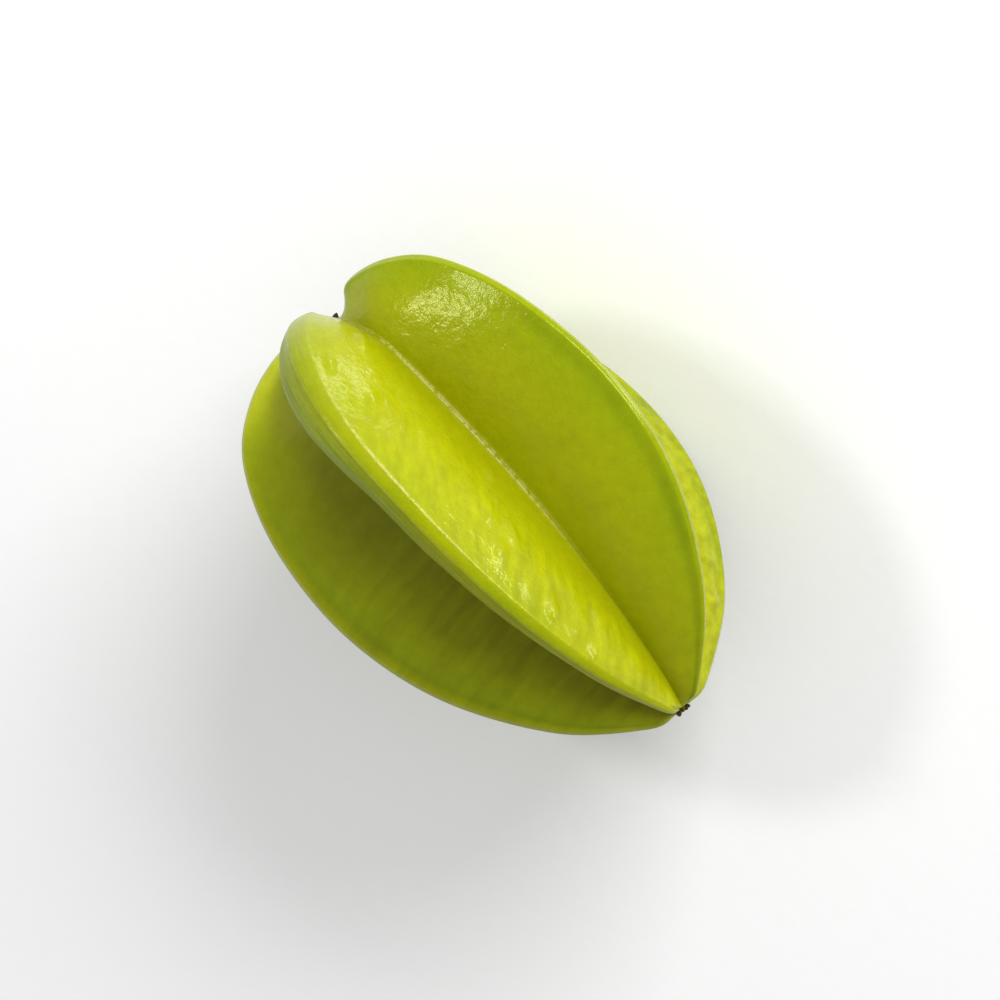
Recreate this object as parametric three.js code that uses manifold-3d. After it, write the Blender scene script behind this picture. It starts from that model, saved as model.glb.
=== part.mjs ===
// Star fruit: one whole carambola with five ribs, lying on two of them, with the short woody
// stub of its stalk in the stem pit and the dried styles of the flower on its blossom tip.
//
// Millimetres, +Z up. +X runs from the stem end to the blossom end. The origin is on the
// surface that the fruit lies on, under the middle of the whole.
//
// The flesh is shaped in its own frame first: x along the core from the floor of the stem pit
// to the blossom tip, and an angle round the core, 0 at the top rib and growing towards +Y.

import * as THREE from "three";
import { mergeVertices } from "three/addons/utils/BufferGeometryUtils.js";
import Module from "manifold-3d";

// ---- Size of the fruit ----

const CORE_LENGTH = 112;
const RIB_COUNT = 5;
const RIB_PITCH = (2 * Math.PI) / RIB_COUNT;
const TIP_HOLLOW = 0.7; // depth of the hollow in the blossom tip, where the styles sit

// The crest of a rib, from the stem pit over the shoulder to the tip:
// place along the core, distance from the core, half width of the rounded crest.
const CREST_LINE = [
  [0, 2.4, 0.3],
  [-1.9, 5.2, 1.0],
  [-5.7, 10.7, 2.4],
  [-2.1, 22.8, 3.6],
  [7.7, 33.8, 3.3],
  [26.8, 42.3, 2.7],
  [51.4, 45.1, 2.5],
  [75.7, 39.8, 2.3],
  [97.4, 26.0, 1.8],
  [110.2, 9.3, 1.1],
  [CORE_LENGTH, 2.7, 0.5],
  [CORE_LENGTH - TIP_HOLLOW, 1.4, 0.2],
];

// The crease between two ribs: place along the core, distance from the core.
const CREASE_LINE = [
  [0, 2.2],
  [-1.4, 4.4],
  [2.7, 9.9],
  [12.9, 17.0],
  [35.4, 19.2],
  [61.2, 19.4],
  [86.6, 14.2],
  [103.8, 7.4],
  [CORE_LENGTH - 0.5, 2.2],
  [CORE_LENGTH - TIP_HOLLOW, 1.4],
];

const CREST_DEPTH = 0.45; // depth of a crest against its half width
const CREST_ROUNDNESS = 1.45; // of its section: 2 is an ellipse, 1 a ridged roof
const SLIM_RIB = 1; // the rib whose crest is the slimmest
const SLIM_SHARE = 0.5; // and how wide that crest is against the others
const FACE_BULGE = 0.055; // how far a rib's side swells, against the side's own width
const HOLLOW_REACH = 0.14; // how far along from the stem end the sides are still hollow

// ---- How this fruit grew unevenly ----

// How much taller than the rest the ribs stand on the +Y side (x) and on the upper side (y),
// as a share of their height: half way along the core, and what is added at the tip and taken
// off at the stem end.
const SWELL_MIDDLE = new THREE.Vector2(-0.008, 0.008);
const SWELL_TOWARDS_TIP = new THREE.Vector2(0.045, -0.125);

const BOW = new THREE.Vector2(1.6, -0.4); // how far the core bows, along Y and Z
const CREST_SWAY = 0.5; // how far a crest wanders to either side of its rib's middle
const SWAY_LENGTH = 0.6; // length of one sway, against the crest's length
const SWAY_STEP = 2.4; // how much further on in its sway each rib is, in radians

// Near the stem end the top rib's crest leans over towards +Y, the lowest two the other way.
const LEAN = 1.4;
const LEAN_MIDDLE = 0.2; // place along the crest line
const LEAN_SPREAD = 0.1;

// A little further on the top rib's lower side is swollen, close to its crest.
const FLANK_RIB = 0;
const FLANK_SIDE = -1;
const FLANK_SWELL = 2.4;
const FLANK_MIDDLE = 0.27; // place along the crest line
const FLANK_SPREAD = 0.12;
const FLANK_PLACE = 0.85; // place from the crease to the crest
const FLANK_WIDTH = 0.35;

// ---- How it lies ----

const REST_PITCH = THREE.MathUtils.degToRad(-5); // blossom end up
const REST_ROLL = THREE.MathUtils.degToRad(-0.6);
const REST_FLAT = 0.35; // how deep the two lowest crests are pressed flat

// ---- Stalk stub and dried styles ----

const SEAT_GAP = 0.3; // between each of them and the flesh

const STUB_LENGTH = 3.3;
const STUB_RADIUS = 0.65;
const STUB_FLARE = 0.78; // radius where it was cut
const STUB_LEAN = 0.3; // sideways for each unit of length
const STUB_LEAN_ANGLE = THREE.MathUtils.degToRad(112);

const STYLE_HEAD_RADIUS = 0.95;
const STYLE_HEAD_HEIGHT = 0.9;
const STYLE_REACH = 2.0; // how far each style spreads from the core
const STYLE_RISE = 1.3; // how far it stands out past its seat
const STYLE_RADIUS = 0.25;
const STYLE_KNOB = 0.32;
const STYLE_TURN = THREE.MathUtils.degToRad(24);

// ---- Fineness of the facets ----

const STATIONS = 44; // along the fruit
const FACE_STEPS = 5; // across one side of a rib
const CREST_STEPS = 3; // across one half of its rounded crest
const STATION_EASE = 0.35; // how much closer the stations lie at both ends
const STUB_SIDES = 14;
const STYLE_HEAD_SIDES = 15;
const STYLE_SIDE_STEPS = 3; // of a style's round section
const STYLE_STEPS = 5; // along one style
const STYLE_KNOB_DETAIL = 1;

// ---- Helpers ----

const wasm = await Module();
wasm.setup();

function toSolid(geometry) {
  const bare = geometry.clone();
  bare.deleteAttribute("normal");
  bare.deleteAttribute("uv");
  const merged = mergeVertices(bare, 1e-5);
  return new wasm.Manifold(
    new wasm.Mesh({
      numProp: 3,
      vertProperties: Float32Array.from(merged.attributes.position.array),
      triVerts: Uint32Array.from(merged.index.array),
    }),
  );
}

function toGeometry(solid) {
  const mesh = solid.getMesh();
  const geometry = new THREE.BufferGeometry();
  geometry.setAttribute("position", new THREE.BufferAttribute(mesh.vertProperties, 3));
  geometry.setIndex(new THREE.BufferAttribute(mesh.triVerts, 1));
  geometry.computeVertexNormals();
  return geometry;
}

// 1 where a value is at the centre, falling to 0 over about the spread on each side.
function hill(value, centre, spread) {
  return Math.exp(-(((value - centre) / spread) ** 2));
}

// A point given by its place along the core, its distance from it and its angle round it.
function aroundCore(x, distance, angle) {
  return new THREE.Vector3(x, distance * Math.sin(angle), distance * Math.cos(angle));
}

// ---- Flesh ----

const crestLine = new THREE.CatmullRomCurve3(
  CREST_LINE.map(([x, r, halfWidth]) => new THREE.Vector3(x, r, halfWidth)),
  false,
  "catmullrom",
);
const creaseLine = new THREE.SplineCurve(
  CREASE_LINE.map(([x, r]) => new THREE.Vector2(x, r)),
);

// One half of a rib's section at a station: points from the crease to the crest, each with its
// place along the core (x), height above the core (y) and distance from the rib's middle (z),
// its share of the way across the side, and its level: 1 on the side, 0 on top of the crest.
function halfSection(along, rib) {
  const crest = crestLine.getPointAt(along);
  const run = crestLine.getTangentAt(along);
  const crease = creaseLine.getPointAt(along);
  const inward = new THREE.Vector2(run.y, -run.x).normalize();
  const halfWidth = crest.z * (rib === SLIM_RIB ? SLIM_SHARE : 1);
  const depth = halfWidth * CREST_DEPTH;

  const foot = new THREE.Vector3(
    crease.x,
    crease.y * Math.cos(RIB_PITCH / 2),
    crease.y * Math.sin(RIB_PITCH / 2),
  );
  const shoulder = new THREE.Vector3(
    crest.x + inward.x * depth,
    crest.y + inward.y * depth,
    halfWidth,
  );
  const width = foot.distanceTo(shoulder);
  const bulge = FACE_BULGE * (2 * THREE.MathUtils.smoothstep(along, 0, HOLLOW_REACH) - 1);
  const taper = (foot.z - shoulder.z) / width + bulge * Math.PI;
  const points = [];

  for (let step = 0; step < FACE_STEPS; step += 1) {
    const across = step / FACE_STEPS;
    const point = foot.clone().lerp(shoulder, across);
    point.z += bulge * width * Math.sin(Math.PI * across);
    points.push({ point, across, level: 1 });
  }
  for (let step = 0; step <= CREST_STEPS; step += 1) {
    const turn = ((step / CREST_STEPS) * Math.PI) / 2;
    const level = Math.max(Math.cos(turn), 0);
    const upright = Math.sin(turn);
    const reach = (level ** CREST_ROUNDNESS + upright ** CREST_ROUNDNESS) ** (-1 / CREST_ROUNDNESS);
    const rise = upright * reach * depth;
    const point = new THREE.Vector3(
      shoulder.x - inward.x * rise,
      shoulder.y - inward.y * rise,
      (halfWidth - taper * rise) * level * reach,
    );
    points.push({ point, across: 1, level });
  }
  return points;
}

// How far the crest of a rib stands to one side of the rib's middle.
function sway(along, rib) {
  const turn = (-2 * Math.PI * along) / SWAY_LENGTH + rib * SWAY_STEP;
  const lean = hill(along, LEAN_MIDDLE, LEAN_SPREAD) * Math.cos(rib * RIB_PITCH);
  return CREST_SWAY * Math.sin(Math.PI * along) * Math.sin(turn) + LEAN * lean;
}

// How far a point on one side of a rib stands out with the swollen flank.
function flank(along, rib, side, { across, level }) {
  if (rib !== FLANK_RIB || side !== FLANK_SIDE) {
    return 0;
  }
  const there = hill(along, FLANK_MIDDLE, FLANK_SPREAD) * hill(across, FLANK_PLACE, FLANK_WIDTH);
  return FLANK_SWELL * there * level;
}

// Puts a section point of one rib where it belongs round the core, with the uneven growth.
function growPoint(entry, along, rib, side) {
  const { point, across } = entry;
  const outward = point.z + flank(along, rib, side, entry);
  const sideways = side * outward + sway(along, rib) * across * across;
  const angle = rib * RIB_PITCH + Math.atan2(sideways, point.y);
  const lengthwise = (2 * point.x) / CORE_LENGTH - 1;
  const facing = new THREE.Vector2(Math.sin(angle), Math.cos(angle));
  const swell = facing.dot(SWELL_MIDDLE) + facing.dot(SWELL_TOWARDS_TIP) * lengthwise;
  const grown = aroundCore(point.x, Math.hypot(point.y, sideways) * (1 + swell), angle);
  const bow = 1 - lengthwise * lengthwise;
  grown.y += BOW.x * bow;
  grown.z += BOW.y * bow;
  return grown;
}

// A closed ring of points round the fruit at one station.
function ring(along) {
  const points = [];
  for (let rib = 0; rib < RIB_COUNT; rib += 1) {
    const half = halfSection(along, rib);
    for (const entry of half) {
      points.push(growPoint(entry, along, rib, -1));
    }
    for (const entry of half.slice(1, -1).reverse()) {
      points.push(growPoint(entry, along, rib, 1));
    }
  }
  return points;
}

function fleshGeometry() {
  const rings = [];
  for (let station = 0; station <= STATIONS; station += 1) {
    const even = station / STATIONS;
    const eased = (1 - Math.cos(Math.PI * even)) / 2;
    rings.push(ring(THREE.MathUtils.lerp(even, eased, STATION_EASE)));
  }
  const around = rings[0].length;
  const points = rings.flat();
  const faces = [];

  for (let station = 0; station < STATIONS; station += 1) {
    for (let place = 0; place < around; place += 1) {
      const next = (place + 1) % around;
      const here = station * around;
      const ahead = here + around;
      faces.push(here + place, ahead + place, ahead + next);
      faces.push(here + place, ahead + next, here + next);
    }
  }

  const pitFloor = points.length;
  const hollow = pitFloor + 1;
  const lastRing = STATIONS * around;
  points.push(new THREE.Vector3(0, 0, 0), new THREE.Vector3(CORE_LENGTH - TIP_HOLLOW, 0, 0));
  for (let place = 0; place < around; place += 1) {
    const next = (place + 1) % around;
    faces.push(pitFloor, place, next);
    faces.push(hollow, lastRing + next, lastRing + place);
  }

  const geometry = new THREE.BufferGeometry().setFromPoints(points);
  geometry.setIndex(faces);
  return geometry;
}

// ---- Stalk stub ----

function stubGeometry() {
  const outline = [
    [0, 0],
    [STUB_RADIUS * 1.1, 0],
    [STUB_RADIUS, STUB_LENGTH * 0.25],
    [STUB_RADIUS, STUB_LENGTH * 0.7],
    [STUB_FLARE, STUB_LENGTH * 0.88],
    [STUB_FLARE * 0.85, STUB_LENGTH],
    [0, STUB_LENGTH * 0.96],
  ].map(([radius, height]) => new THREE.Vector2(radius, height));
  const geometry = new THREE.LatheGeometry(outline, STUB_SIDES);
  geometry.rotateZ(Math.PI / 2); // it stands out of the pit, towards -X
  geometry.translate(-SEAT_GAP, 0, 0);
  const lean = aroundCore(0, STUB_LEAN, STUB_LEAN_ANGLE);
  geometry.applyMatrix4(new THREE.Matrix4().makeShear(-lean.y, -lean.z, 0, 0, 0, 0));
  return geometry;
}

// ---- Dried styles ----

function styleHeadSolid() {
  const outline = [
    [0, 0],
    [STYLE_HEAD_RADIUS * 0.9, 0],
    [STYLE_HEAD_RADIUS, STYLE_HEAD_HEIGHT * 0.45],
    [STYLE_HEAD_RADIUS * 0.6, STYLE_HEAD_HEIGHT],
    [0, STYLE_HEAD_HEIGHT * 0.8],
  ].map(([radius, height]) => new THREE.Vector2(radius, height));
  const head = new THREE.LatheGeometry(outline, STYLE_HEAD_SIDES);
  head.rotateZ(-Math.PI / 2);
  return toSolid(head);
}

function styleArmSolid(angle) {
  const path = new THREE.CatmullRomCurve3([
    aroundCore(STYLE_HEAD_HEIGHT * 0.4, 0.3, angle),
    aroundCore(STYLE_HEAD_HEIGHT * 0.7, STYLE_REACH * 0.6, angle),
    aroundCore(STYLE_RISE - STYLE_KNOB, STYLE_REACH - STYLE_KNOB, angle),
  ]);
  const section = new THREE.Shape();
  section.absarc(0, 0, STYLE_RADIUS, 0, 2 * Math.PI);
  const arm = new THREE.ExtrudeGeometry(section, {
    curveSegments: STYLE_SIDE_STEPS,
    steps: STYLE_STEPS,
    extrudePath: path,
  });
  const knob = new THREE.IcosahedronGeometry(STYLE_KNOB, STYLE_KNOB_DETAIL);
  knob.translate(...path.getPointAt(1).toArray());
  return toSolid(arm).add(toSolid(knob));
}

function styleGeometry() {
  let star = styleHeadSolid();
  for (let arm = 0; arm < RIB_COUNT; arm += 1) {
    star = star.add(styleArmSolid(STYLE_TURN + arm * RIB_PITCH));
  }
  return toGeometry(star.translate([CORE_LENGTH - TIP_HOLLOW + SEAT_GAP, 0, 0]));
}

// ---- Laying the fruit down ----

const flesh = fleshGeometry();
const stub = stubGeometry();
const styles = styleGeometry();
const pieces = [flesh, stub, styles];

const rest = new THREE.Matrix4().makeRotationFromEuler(
  new THREE.Euler(REST_ROLL, REST_PITCH, 0, "XYZ"),
);
const whole = new THREE.Box3();
for (const geometry of pieces) {
  geometry.applyMatrix4(rest);
  geometry.computeBoundingBox();
  whole.union(geometry.boundingBox);
}
const middle = whole.getCenter(new THREE.Vector3());
for (const geometry of pieces) {
  geometry.translate(-middle.x, -middle.y, -whole.min.z - REST_FLAT);
}

// Everything below the surface is pressed away, which leaves a small flat on two crests.
function pressFlat(geometry) {
  const size = 2 * CORE_LENGTH;
  const below = new THREE.BoxGeometry(size, size, size);
  below.translate(0, 0, -size / 2);
  return toGeometry(toSolid(geometry).subtract(toSolid(below)));
}

// ---- The object ----

const skin = new THREE.MeshStandardMaterial({
  name: "waxy_skin",
  color: 0xb2ba08,
  roughness: 0.38,
  metalness: 0,
});
const wood = new THREE.MeshStandardMaterial({
  name: "dry_stalk",
  color: 0x4a3d14,
  roughness: 0.85,
  metalness: 0,
});
const husk = new THREE.MeshStandardMaterial({
  name: "dry_style",
  color: 0x4f4015,
  roughness: 0.9,
  metalness: 0,
});

function namedMesh(name, geometry, material) {
  const mesh = new THREE.Mesh(geometry, material);
  mesh.name = name;
  return mesh;
}

const starFruit = new THREE.Group();
starFruit.add(
  namedMesh("fruit", pressFlat(flesh), skin),
  namedMesh("stem_stub", stub, wood),
  namedMesh("style_star", styles, husk),
);

export default starFruit;
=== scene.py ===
"""A star fruit: a whole carambola that lies on two of its five ribs, with the woody stub of its
stalk in the stem pit and the dried styles of the flower on its blossom tip.

Lengths are in metres. +X runs from the stem end to the blossom end, +Z is up, and the fruit lies
on the plane z = 0. The pieces are shaped in the fruit's own frame first: x along the core from
the floor of the stem pit to the blossom tip, and an angle round the core, 0 at the top rib and
growing towards +Y. Then they are laid down as the frame's fruit lies.
"""

import math
from functools import partialmethod
from types import SimpleNamespace

import bpy
from bpy.props import FloatProperty, FloatVectorProperty, IntProperty, PointerProperty
from bpy.types import NodeSocket, Operator, Panel, PropertyGroup
from mathutils import Matrix, Vector


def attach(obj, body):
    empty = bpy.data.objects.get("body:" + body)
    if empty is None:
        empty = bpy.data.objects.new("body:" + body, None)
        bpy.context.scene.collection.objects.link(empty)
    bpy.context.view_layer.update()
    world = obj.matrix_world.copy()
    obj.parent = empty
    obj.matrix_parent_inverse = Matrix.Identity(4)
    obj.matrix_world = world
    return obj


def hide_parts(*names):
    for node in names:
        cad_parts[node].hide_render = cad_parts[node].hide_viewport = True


bl_info = {
    "name": "Star Fruit",
    "version": (1, 0, 0),
    "blender": (4, 5, 0),
    "location": "3D View > Sidebar > Star Fruit",
    "description": "Grows a star fruit round its packed model, and lights it",
    "category": "Object",
}

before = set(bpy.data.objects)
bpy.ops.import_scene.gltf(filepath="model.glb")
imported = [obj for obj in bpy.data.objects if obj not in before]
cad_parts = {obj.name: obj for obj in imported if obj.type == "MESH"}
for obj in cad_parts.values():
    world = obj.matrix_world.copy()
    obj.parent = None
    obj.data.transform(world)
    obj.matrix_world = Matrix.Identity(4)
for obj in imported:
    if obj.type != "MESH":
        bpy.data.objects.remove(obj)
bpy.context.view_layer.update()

MM = 0.001
BODY = "root"
MIX_FIRST, MIX_SECOND, MIX_RESULT = 6, 7, 2  # colour sockets of the Mix node
RANDOM_LOW, RANDOM_HIGH, RANDOM_NUMBER = 2, 3, 1  # number sockets of the Random Value node

# ---- Form of the fruit, in millimetres ----

CORE_LENGTH = 112
RIB_COUNT = 5
RIB_PITCH = 2 * math.pi / RIB_COUNT
TIP_HOLLOW = 0.7  # depth of the hollow in the blossom tip, where the styles sit

# The crest of a rib, from the stem pit over the shoulder to the tip:
# place along the core, distance from the core, half width of the crest.
CREST_LINE = (
    (0, 2.4, 0.3),
    (-1.9, 5.2, 1.0),
    (-5.7, 10.7, 2.4),
    (-2.1, 22.8, 3.6),
    (7.7, 33.8, 3.3),
    (26.8, 42.3, 2.7),
    (51.4, 45.1, 2.5),
    (75.7, 39.8, 2.3),
    (97.4, 26.0, 1.8),
    (110.2, 9.3, 1.1),
    (CORE_LENGTH, 2.7, 0.5),
    (CORE_LENGTH - TIP_HOLLOW, 1.4, 0.2),
)

# The crease between two ribs: place along the core, distance from the core.
CREASE_LINE = (
    (0, 2.2, 0),
    (-1.4, 4.4, 0),
    (2.7, 9.9, 0),
    (12.9, 17.0, 0),
    (35.4, 19.2, 0),
    (61.2, 19.4, 0),
    (86.6, 14.2, 0),
    (103.8, 7.4, 0),
    (CORE_LENGTH - 0.5, 2.2, 0),
    (CORE_LENGTH - TIP_HOLLOW, 1.4, 0),
)

# Ribs count from the top one, towards +Y. Rib n's own sides are 2n - 0.5 and 2n + 0.5.
TOP_RIB = 0
SLIM_RIB = 1  # the rib whose crest stayed slim
TOP_SIDE = 0.5
FAR_SIDE = -0.5  # the top rib's other side, which hangs over the last rib
# The bare side is also painted lighter near the stem, as painted light.
BARE_SIDE = 1.5  # has no bloom
PAINTED_GLINT_SIDE = 3.5
LAST_RIM, LAST_SIDE = 7.5, 8.5  # the lower and the upper side of the last rib

SEAT_GAP = 0.3  # between the flesh and the two dry pieces
STYLE_SEAT = CORE_LENGTH - TIP_HOLLOW + SEAT_GAP
STYLE_COUNT = 5

# ---- How the fruit lies ----

REST_ROLL = math.radians(-0.6)
REST_PITCH = math.radians(-5)
REST_TURN = Matrix.Rotation(REST_ROLL, 3, "X") @ Matrix.Rotation(REST_PITCH, 3, "Y")
PIT_FLOOR = Vector((-52.912, -0.985, 31.901)) * MM  # where the core begins, in the frame


# ---- Node trees ----


class Wire:
    """A number on its way through a node tree. Each sum or product of wires adds a Math node."""

    def __init__(self, socket):
        self.socket = socket
        self.tree = socket.id_data

    def math(self, operation, *others, clamp=False):
        inputs = dict(enumerate((self, *others)))
        node = add_node(self.tree, "ShaderNodeMath", inputs, operation=operation, use_clamp=clamp)
        return Wire(node.outputs[0])

    __add__ = partialmethod(math, "ADD")
    __sub__ = partialmethod(math, "SUBTRACT")
    __mul__ = partialmethod(math, "MULTIPLY")
    __truediv__ = partialmethod(math, "DIVIDE")
    __pow__ = partialmethod(math, "POWER")
    sin = partialmethod(math, "SINE")
    cos = partialmethod(math, "COSINE")

    def clamped(self):
        """This wire, kept from 0 to 1."""
        return self.math("ADD", 0.0, clamp=True)

    def rest(self):
        """What this wire leaves of 1."""
        return self * -1 + 1

    def mix(self, other, share):
        """This wire where share is 0, and the other where it is 1."""
        return self + (other - self) * share

    def hill(self, centre, width):
        """1 where this wire is at the centre, falling to 0 over about the width on each side."""
        return ((((self - centre) / width) ** 2) * -1).math("EXPONENT")

    def only(self, number):
        """1 where this wire is the number, and 0 where it is 1 or more away from it."""
        return self.hill(number, 0.3)

    def ramp(self, start, end):
        """A smooth step from 0 at start to 1 at end."""
        inputs = {"Value": self, "From Min": start, "From Max": end}
        node = add_node(self.tree, "ShaderNodeMapRange", inputs, interpolation_type="SMOOTHSTEP")
        return Wire(node.outputs["Result"])


def plug(value, socket):
    """Links a wire or a socket to a node's input, or sets the input to a plain value."""
    source = value.socket if isinstance(value, Wire) else value
    if isinstance(source, NodeSocket):
        socket.id_data.links.new(source, socket)
    else:
        socket.default_value = value


def add_node(tree, kind, inputs=(), **settings):
    """Adds a node with its settings and its inputs, which are given by name or number."""
    node = tree.nodes.new(kind)
    for name, value in settings.items():
        setattr(node, name, value)
    for name, value in dict(inputs).items():
        plug(value, node.inputs[name])
    return node


def opaque(colour):
    """A socket as it is, or a colour of three numbers with its alpha."""
    return colour if isinstance(colour, NodeSocket) else (*colour, 1)


def split(vector):
    """The three numbers of a vector."""
    node = add_node(vector.id_data, "ShaderNodeSeparateXYZ", {0: vector})
    return tuple(map(Wire, node.outputs))


def join(*numbers):
    """A vector out of three numbers, of which one or more are wires."""
    tree = next(number.tree for number in numbers if isinstance(number, Wire))
    return add_node(tree, "ShaderNodeCombineXYZ", enumerate(numbers)).outputs[0]


def noise_wire(vector, scale, seed, detail=2.0, distortion=0.0):
    """Even noise from -1 to 1, mostly near 0. The seed moves it to another place."""
    inputs = {"Vector": vector, "W": seed, "Scale": scale, "Detail": detail, "Distortion": distortion}
    node = add_node(vector.id_data, "ShaderNodeTexNoise", inputs, noise_dimensions="4D")
    return Wire(node.outputs[0]) * 2 - 1


def cell_wires(vector, scale, seed):
    """Scattered spots: the distance from the nearest one, and a random number for each."""
    inputs = {"Vector": vector, "W": seed, "Scale": scale}
    node = add_node(vector.id_data, "ShaderNodeTexVoronoi", inputs, voronoi_dimensions="4D")
    kind, _, _ = split(node.outputs["Color"])
    return Wire(node.outputs["Distance"]), kind


class GrowthTree:
    """A Geometry Nodes tree with named inputs."""

    def __init__(self, name):
        self.tree = bpy.data.node_groups.new(name, "GeometryNodeTree")
        self.tree.interface.new_socket("Geometry", in_out="OUTPUT", socket_type="NodeSocketGeometry")
        self.values = {}
        self.entry = self.tree.nodes.new("NodeGroupInput")
        self.exit = self.tree.nodes.new("NodeGroupOutput")

    def input(self, name, kind, value):
        """Adds a named input with its value and gives its socket inside the tree."""
        item = self.tree.interface.new_socket(name, in_out="INPUT", socket_type=kind)
        self.values[item.identifier] = value
        return next(out for out in self.entry.outputs if out.identifier == item.identifier)

    def number(self, name, value):
        kind = "NodeSocketInt" if isinstance(value, int) else "NodeSocketFloat"
        return Wire(self.input(name, kind, value))

    def vector(self, name, value):
        return self.input(name, "NodeSocketVector", tuple(value))

    def take(self, settings):
        """A named input for each of the settings, under the setting's own name."""
        taken = SimpleNamespace()
        for prop in settings.bl_rna.properties:
            if prop.type in ("FLOAT", "INT"):
                make = self.vector if prop.is_array else self.number
                socket = make(prop.name, getattr(settings, prop.identifier))
                setattr(taken, prop.identifier, socket)
        return taken

    def node(self, kind, inputs=(), **settings):
        """Adds one of the geometry nodes and gives its first output."""
        return add_node(self.tree, "GeometryNode" + kind, inputs, **settings).outputs[0]

    def tube(self, sides, rings, cap_rings=1):
        """A closed tube round +Z, 1 high and 1 in radius, with its middle at the origin."""
        sizes = {"Vertices": sides, "Side Segments": rings, "Fill Segments": cap_rings}
        sizes |= {"Radius": 1.0, "Depth": 1.0}
        return self.node("MeshCylinder", sizes, fill_type="TRIANGLE_FAN")

    def spot(self):
        """Where each point is."""
        return self.node("InputPosition")

    def move(self, geometry, place):
        """Puts the points at a place."""
        return self.node("SetPosition", {"Geometry": geometry, "Position": place})

    def lift(self, geometry, height):
        """Moves the points along their normals."""
        normal = self.node("InputNormal")
        inputs = {0: normal, "Scale": height}
        offset = add_node(self.tree, "ShaderNodeVectorMath", inputs, operation="SCALE").outputs[0]
        return self.node("SetPosition", {"Geometry": geometry, "Offset": offset})

    def keep(self, geometry, name, value):
        """Stores a number at each point, under a name that a material can read."""
        inputs = {"Geometry": geometry, "Name": name, "Value": value}
        return self.node("StoreNamedAttribute", inputs, data_type="FLOAT", domain="POINT")

    def kept(self, name):
        """The number that each point keeps under the name."""
        number = self.node("InputNamedAttribute", {"Name": name}, data_type="FLOAT")
        return Wire(number)

    def put(self, geometry, place, size=(1, 1, 1)):
        """Moves a whole geometry to a place and sizes it."""
        inputs = {"Geometry": geometry, "Translation": place, "Scale": size}
        return self.node("Transform", inputs)

    def together(self, *parts):
        """One geometry out of several."""
        joined = add_node(self.tree, "GeometryNodeJoinGeometry")
        for part in parts:
            self.tree.links.new(part, joined.inputs[0])
        return joined.outputs[0]

    def lay_down(self, geometry):
        """Turns the fruit's own frame into the frame that it lies in."""
        turn = self.vector("Rest Turn", REST_TURN.to_euler())
        place = self.vector("Rest Place", PIT_FLOOR)
        inputs = {"Geometry": geometry, "Translation": place, "Rotation": turn}
        return self.node("Transform", inputs)

    def grow(self, name, geometry, skin, weld=0.0):
        """Ends the tree, runs it on a new object and gives the object with its plain mesh.

        A weld above 0 is the size of the voxels that join the tree's solids into one."""
        skin_input = self.input("Skin", "NodeSocketMaterial", skin)
        smooth = self.node("SetShadeSmooth", {0: geometry})
        loose = self.node("RealizeInstances", {0: smooth})
        painted = self.node("SetMaterial", {"Geometry": loose, "Material": skin_input})
        self.tree.links.new(painted, self.exit.inputs[0])

        piece = new_object(name, bpy.data.meshes.new(name))
        modifier = piece.modifiers.new("growth", "NODES")
        modifier.node_group = self.tree
        for identifier, value in self.values.items():
            modifier[identifier] = value
        if weld:
            remesh = piece.modifiers.new("weld", "REMESH")
            remesh.mode = "VOXEL"
            remesh.voxel_size = weld
            remesh.use_smooth_shade = True
        depsgraph = bpy.context.evaluated_depsgraph_get()
        grown = bpy.data.meshes.new_from_object(
            piece.evaluated_get(depsgraph), preserve_all_data_layers=True, depsgraph=depsgraph
        )
        if not grown.polygons:
            raise RuntimeError(f"the node tree of {name} grew nothing")
        grown.materials.clear()
        grown.materials.append(skin)
        piece.modifiers.clear()
        piece.data = grown
        grown.name = name
        return piece


class Look:
    """A material: its node tree, its shader, and its colour with what is laid on it so far."""

    def __init__(self, name, tints, base):
        self.material = bpy.data.materials.new(name)
        self.material.use_nodes = True
        self.tree = self.material.node_tree
        self.shader = self.tree.nodes["Principled BSDF"]
        self.spot = add_node(self.tree, "ShaderNodeTexCoord").outputs["Object"]
        self.tints = tints
        self.colour = getattr(tints, base)

    def stored(self, name):
        """A number that the mesh keeps at its points."""
        node = add_node(self.tree, "ShaderNodeAttribute", attribute_name=name)
        return Wire(node.outputs["Fac"])

    def noise(self, size, seed, **settings):
        """Noise with patches of about the size, in millimetres."""
        return noise_wire(self.spot, 1 / (size * MM), seed, **settings)

    def cells(self, size, seed):
        """Spots about the size apart, in millimetres."""
        return cell_wires(self.spot, 1 / (size * MM), seed)

    def lay(self, tint, share):
        """Lays a tint over the colour: not at all where share is 0, and fully where it is 1."""
        tint = getattr(self.tints, tint)
        inputs = {0: share, MIX_FIRST: opaque(self.colour), MIX_SECOND: opaque(tint)}
        node = add_node(self.tree, "ShaderNodeMix", inputs, data_type="RGBA")
        self.colour = node.outputs[MIX_RESULT]

    def brighten(self, share):
        """Brightens the colour by a share of it, or darkens it where the share is below 0."""
        inputs = {0: self.colour, "Scale": share + 1}
        node = add_node(self.tree, "ShaderNodeVectorMath", inputs, operation="SCALE")
        self.colour = node.outputs[0]

    def finish(self, roughness, height, constants=()):
        """Links the colour, the roughness and a relief whose height is in millimetres, sets
        what is the same all over the surface, and gives the material."""
        bump = add_node(self.tree, "ShaderNodeBump", {"Distance": MM, "Height": height})
        inputs = {"Base Color": self.colour, "Roughness": roughness, "Normal": bump.outputs[0]}
        for name, value in (inputs | dict(constants)).items():
            plug(value, self.shader.inputs[name])
        return self.material


def new_object(name, data):
    """A new object in the scene, in place of what an operator made when it ran before."""
    if name in bpy.data.objects:
        bpy.data.objects.remove(bpy.data.objects[name])
    made = bpy.data.objects.new(name, data)
    bpy.context.scene.collection.objects.link(made)
    return made


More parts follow.
